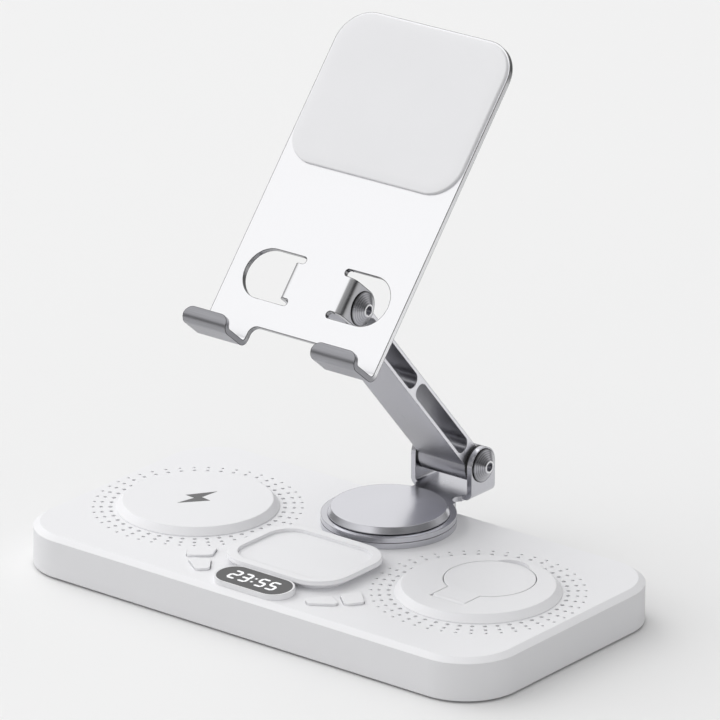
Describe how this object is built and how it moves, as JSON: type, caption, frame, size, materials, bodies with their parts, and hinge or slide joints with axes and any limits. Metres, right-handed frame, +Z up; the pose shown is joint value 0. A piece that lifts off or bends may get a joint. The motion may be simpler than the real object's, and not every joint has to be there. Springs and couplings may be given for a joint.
{
  "type": "wireless charging station",
  "caption": "Flat desk charger with a phone pad, flip-up watch puck, earbud tray and clock, and a turning folding arm that holds a second phone on a bent metal plate.",
  "frame": {"origin": "on the table under the middle of the base, as the station stands on its feet", "axes": "+Z up; +X to the user's right along the base's long side; +Y to the back, where the arm's hinge hangs over the rear edge; the clock faces -Y"},
  "size_m": [0.2, 0.1214, 0.1852],
  "materials": {
    "white_shell": "fine satin moulded plastic",
    "white_cover": "matt moulded plastic",
    "foot_rubber": "matt rubber",
    "steel": "zinc-plated",
    "ballast_steel": "blanked sheet, oiled",
    "board": "solder mask",
    "chips": "moulded epoxy",
    "socket_steel": "drawn shell",
    "white_pad": "smooth satin plastic",
    "grey_print": "inlaid print",
    "copper": "enamelled wire",
    "ferrite": "sintered sheet",
    "dark_window": "tinted acrylic",
    "lit_digits": "lit light guide",
    "dome_rubber": "soft silicone",
    "slip_plastic": "low-friction plastic",
    "black_steel": "black oxide",
    "magnet": "nickel-plated",
    "white_key": "satin plastic",
    "plate_metal": "bead-blasted, silver anodised",
    "cap_metal": "turned in fine rings, silver anodised",
    "screw_metal": "turned",
    "black_washer": "black nylon",
    "arm_metal": "extruded, satin anodised",
    "silicone": "soft silicone skin"
  },
  "bodies": {
    "base": {"base_shell": "white_shell", "base_cover": "white_cover", "rubber_feet": "foot_rubber", "cover_screws": "steel", "ballast_plate": "ballast_steel", "main_board": "board", "board_parts": "chips", "board_screws": "steel", "usb_socket": "socket_steel", "phone_pad": "white_pad", "bolt_mark": "grey_print", "phone_coil": "copper", "phone_ferrite": "ferrite", "watch_pad": "white_pad", "puck_pin": "steel", "earbud_tray": "white_pad", "tray_coil": "copper", "tray_ferrite": "ferrite", "clock_bezel": "white_pad", "clock_window": "dark_window", "clock_digits": "lit_digits", "clock_board": "board", "key_domes": "dome_rubber", "key_boards": "board", "fixed_ring": "plate_metal", "ring_screws": "steel", "slip_washer": "slip_plastic", "hub_washer": "steel", "hub_screw": "black_steel"},
    "watch_puck": {"puck_shell": "white_pad", "puck_base": "white_cover", "puck_coil": "copper", "puck_magnet": "magnet"},
    "key_1": {"key_left_rear": "white_key"},
    "key_2": {"key_left_front": "white_key"},
    "key_3": {"key_right_rear": "white_key"},
    "key_4": {"key_right_front": "white_key"},
    "turntable": {"swivel_bracket": "plate_metal", "stop_pin": "steel", "turn_cap": "cap_metal", "lower_axle": "steel", "lower_screws": "screw_metal", "lower_washers": "black_washer"},
    "stand_arm": {"arm": "arm_metal"},
    "phone_holder": {"upper_axle": "steel", "upper_screws": "screw_metal", "upper_washers": "black_washer", "phone_plate": "plate_metal", "phone_cushion": "silicone"}
  },
  "joints": [
    {"name": "turn", "type": "hinge", "parent": "base", "child": "turntable", "pos_m": [0, 0.028, 0.0175], "axis": [0, 0, 1], "range_deg": [-75, 75]},
    {"name": "arm_tilt", "type": "hinge", "parent": "turntable", "child": "stand_arm", "pos_m": [0, 0.063, 0.029], "axis": [1, 0, 0], "range_deg": [-40, 14]},
    {"name": "plate_tilt", "type": "hinge", "parent": "stand_arm", "child": "phone_holder", "pos_m": [0, -0.00231, 0.1044], "axis": [1, 0, 0], "range_deg": [-45, 30]},
    {"name": "puck_flip", "type": "hinge", "parent": "base", "child": "watch_puck", "pos_m": [0.0603, -0.0152, 0.0161], "axis": [1, 0, 0], "range_deg": [0, 85]},
    {"name": "press_1", "type": "slide", "parent": "base", "child": "key_1", "axis": [0, 0, 1], "range_m": [-0.0005, 0], "stiffness_N_per_m": 1500},
    {"name": "press_2", "type": "slide", "parent": "base", "child": "key_2", "axis": [0, 0, 1], "range_m": [-0.0005, 0], "stiffness_N_per_m": 1500},
    {"name": "press_3", "type": "slide", "parent": "base", "child": "key_3", "axis": [0, 0, 1], "range_m": [-0.0005, 0], "stiffness_N_per_m": 1500},
    {"name": "press_4", "type": "slide", "parent": "base", "child": "key_4", "axis": [0, 0, 1], "range_m": [-0.0005, 0], "stiffness_N_per_m": 1500}
  ]
}
